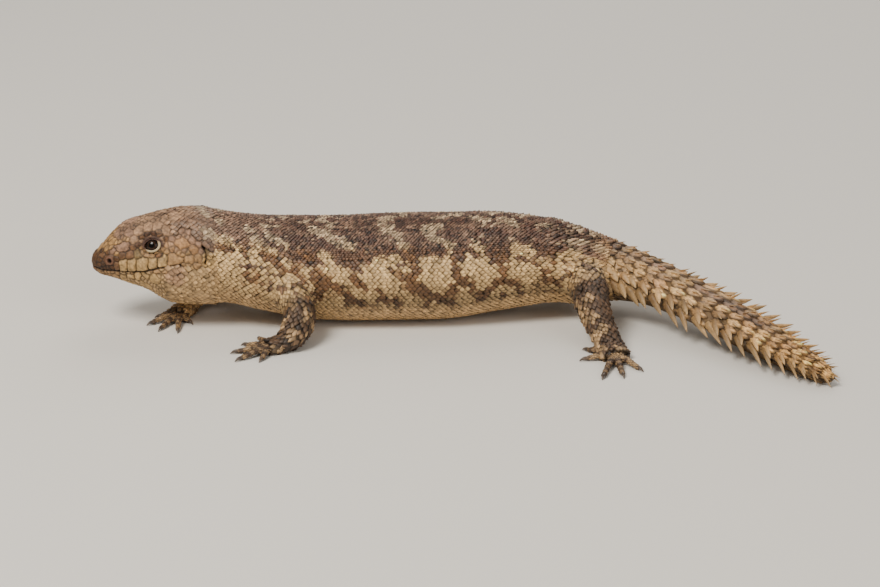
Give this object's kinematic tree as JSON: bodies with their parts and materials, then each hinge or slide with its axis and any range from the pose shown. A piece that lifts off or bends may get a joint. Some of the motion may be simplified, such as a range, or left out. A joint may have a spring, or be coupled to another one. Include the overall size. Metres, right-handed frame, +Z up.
{
  "type": "gidgee skink",
  "caption": "Stout spiny-tailed skink resting on its belly with spread legs, raised blunt head and a short flattened spiny tail curved to one side.",
  "frame": {"origin": "middle of the bounding box on the ground, under the belly", "axes": "+X from the head towards the tail, -Y the animal's left side, +Z up"},
  "size_m": [0.2342, 0.1332, 0.038],
  "materials": {
    "hide": "dry keeled scales, brown with cream-grey bands",
    "throat": "smooth scales, cream-tan",
    "tail_hide": "dry spiny scales, cream and brown",
    "leg_hide": "dry scales, grey-brown with cream flecks",
    "eye": "wet gloss, dark brown",
    "ear": "matt dark skin"
  },
  "bodies": {
    "root": {"head": "hide", "lower_jaw": "throat", "left_eye": "eye", "right_eye": "eye", "left_ear": "ear", "right_ear": "ear", "neck": "hide", "chest": "hide", "belly": "hide", "loin": "hide", "pelvis": "hide", "tail_base": "tail_hide", "tail_middle": "tail_hide", "tail_tip": "tail_hide", "left_fore_upper_leg": "leg_hide", "left_fore_lower_leg": "leg_hide", "left_fore_foot": "leg_hide", "right_fore_upper_leg": "leg_hide", "right_fore_lower_leg": "leg_hide", "right_fore_foot": "leg_hide", "left_hind_upper_leg": "leg_hide", "left_hind_lower_leg": "leg_hide", "left_hind_foot": "leg_hide", "right_hind_upper_leg": "leg_hide", "right_hind_lower_leg": "leg_hide", "right_hind_foot": "leg_hide"}
  },
  "joints": []
}
